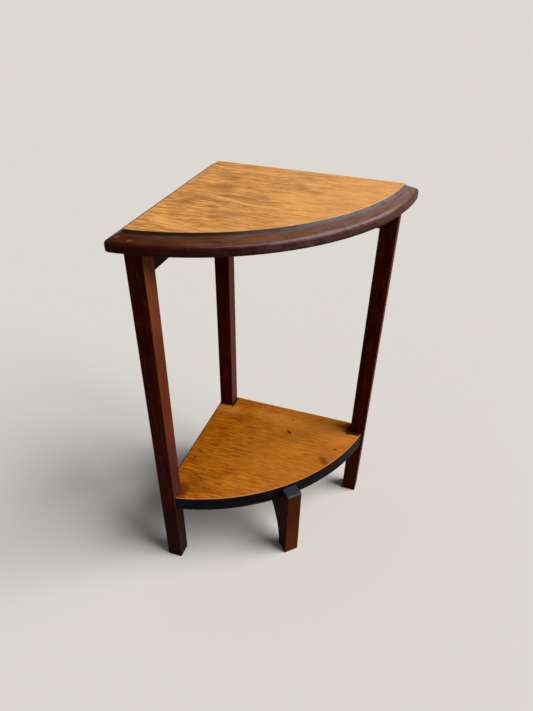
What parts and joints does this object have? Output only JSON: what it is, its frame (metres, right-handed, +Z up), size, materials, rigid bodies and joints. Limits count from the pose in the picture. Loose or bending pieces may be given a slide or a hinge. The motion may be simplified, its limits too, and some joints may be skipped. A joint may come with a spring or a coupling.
{
  "type": "corner plant stand",
  "caption": "Small quarter-round corner plant stand with a moulded top on square legs, a low notched shelf and a tapered front foot.",
  "frame": {"origin": "on the floor, under the middle of the top's bounding square", "axes": "+Z up; +Y towards the wall behind and -X towards the wall at the side, so the corner of the room is at (-X, +Y) and the round edge faces (+X, -Y)"},
  "size_m": [0.275, 0.275, 0.5215],
  "materials": {
    "top_wood": "worn orange-brown varnish, its moulded edge stained dark",
    "shelf_wood": "orange-brown varnish with a black edge",
    "leg_wood": "dark red-brown stain, satin",
    "rail_wood": "dark brown stain, matt",
    "screw_steel": "zinc-plated",
    "dowel_wood": "bare beech"
  },
  "bodies": {
    "root": {"top_board": "top_wood", "shelf": "shelf_wood", "back_leg": "leg_wood", "left_leg": "leg_wood", "right_leg": "leg_wood", "left_rail": "rail_wood", "back_rail": "rail_wood", "front_foot": "leg_wood", "left_rail_screw_front": "screw_steel", "left_rail_screw_rear": "screw_steel", "back_rail_screw_front": "screw_steel", "back_rail_screw_rear": "screw_steel", "left_leg_screw": "screw_steel", "right_leg_screw": "screw_steel", "back_leg_screw_side": "screw_steel", "back_leg_screw_rear": "screw_steel", "left_leg_dowel": "dowel_wood", "right_leg_dowel": "dowel_wood", "foot_dowel_front": "dowel_wood", "foot_dowel_rear": "dowel_wood"}
  },
  "joints": []
}
